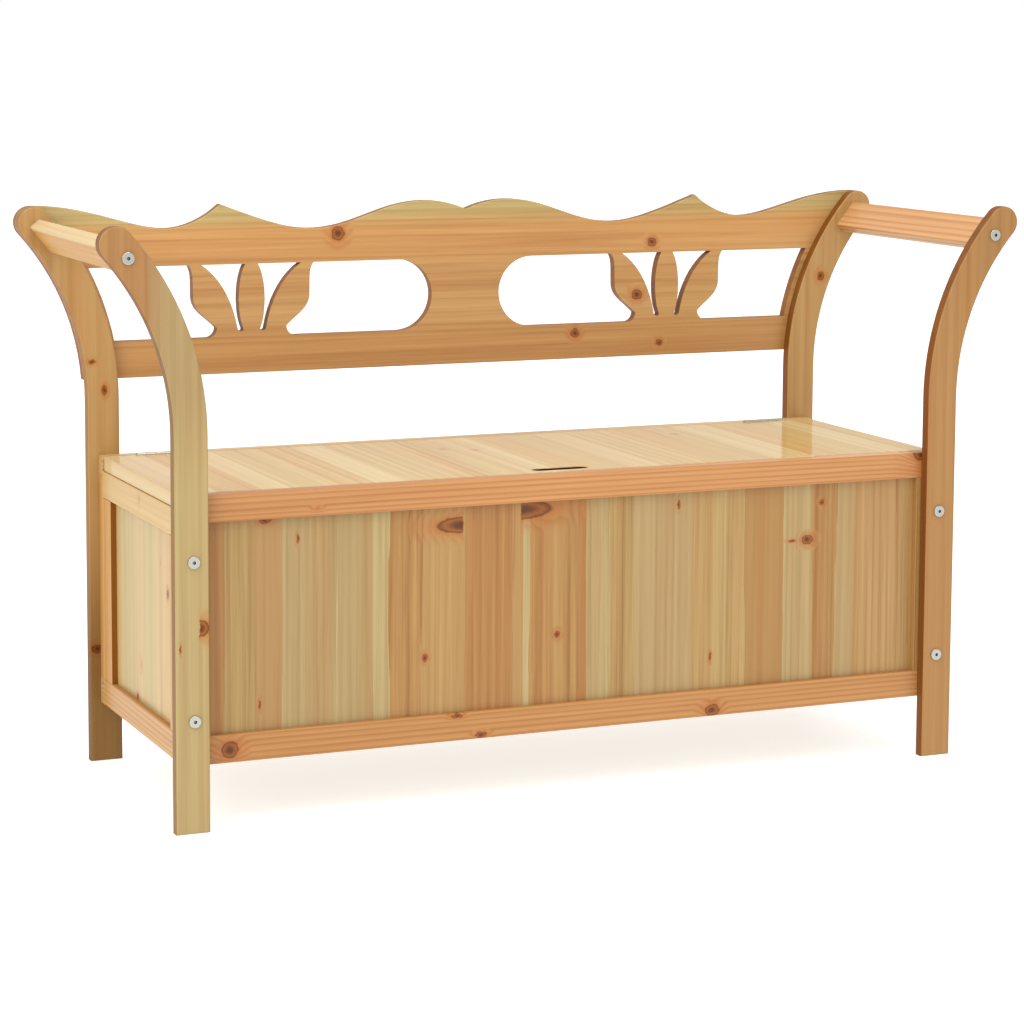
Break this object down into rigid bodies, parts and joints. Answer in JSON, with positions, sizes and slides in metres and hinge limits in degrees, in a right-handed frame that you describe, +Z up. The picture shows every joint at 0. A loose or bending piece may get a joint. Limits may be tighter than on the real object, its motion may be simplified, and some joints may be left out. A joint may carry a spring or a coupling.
{
  "type": "storage bench",
  "caption": "Wooden storage bench with a panelled chest, lift-up seat, legs that curve out into arms, and a pierced, scalloped back board.",
  "frame": {"origin": "on the floor, under the middle of the bench's outer box", "axes": "+X along the bench to the viewer's right seen from the front, +Y to the back board, +Z up"},
  "size_m": [1.2622, 0.4272, 0.74],
  "materials": {
    "lacquered_softwood": "satin lacquer",
    "dowel_wood": "raw",
    "zinc_steel": "zinc plated",
    "bright_steel": "plated"
  },
  "bodies": {
    "bench": {"arm_dowels": "dowel_wood", "arm_inserts": "zinc_steel", "back_arm_bolts": "zinc_steel", "back_board": "lacquered_softwood", "back_bottom_rail": "lacquered_softwood", "back_cleat": "lacquered_softwood", "back_left_leg": "lacquered_softwood", "back_left_stile": "lacquered_softwood", "back_leg_bolts": "zinc_steel", "back_panel": "lacquered_softwood", "back_right_leg": "lacquered_softwood", "back_right_stile": "lacquered_softwood", "back_top_rail": "lacquered_softwood", "barrel_nuts": "zinc_steel", "board_screws": "bright_steel", "chest_floor": "lacquered_softwood", "cleat_screws": "bright_steel", "front_arm_bolts": "zinc_steel", "front_bottom_rail": "lacquered_softwood", "front_cleat": "lacquered_softwood", "front_left_leg": "lacquered_softwood", "front_left_stile": "lacquered_softwood", "front_leg_bolts": "zinc_steel", "front_panel": "lacquered_softwood", "front_right_leg": "lacquered_softwood", "front_right_stile": "lacquered_softwood", "front_top_rail": "lacquered_softwood", "hinge_box_screws": "bright_steel", "left_arm_rail": "lacquered_softwood", "left_end_bottom_rail": "lacquered_softwood", "left_end_cleat": "lacquered_softwood", "left_end_front_stile": "lacquered_softwood", "left_end_panel": "lacquered_softwood", "left_end_rear_stile": "lacquered_softwood", "left_end_top_rail": "lacquered_softwood", "left_hinge_box_leaf": "bright_steel", "left_hinge_pin": "bright_steel", "right_arm_rail": "lacquered_softwood", "right_end_bottom_rail": "lacquered_softwood", "right_end_cleat": "lacquered_softwood", "right_end_front_stile": "lacquered_softwood", "right_end_panel": "lacquered_softwood", "right_end_rear_stile": "lacquered_softwood", "right_end_top_rail": "lacquered_softwood", "right_hinge_box_leaf": "bright_steel", "right_hinge_pin": "bright_steel"},
    "lid": {"seat_lid": "lacquered_softwood", "front_lid_batten": "lacquered_softwood", "rear_lid_batten": "lacquered_softwood", "batten_screws": "bright_steel", "left_hinge_lid_leaf": "bright_steel", "right_hinge_lid_leaf": "bright_steel", "hinge_lid_screws": "bright_steel"}
  },
  "joints": [
    {"name": "lid_hinge", "type": "hinge", "parent": "bench", "child": "lid", "pos_m": [0, 0.16, 0.412], "axis": [-1, 0, 0], "range_deg": [0, 95.5]}
  ]
}
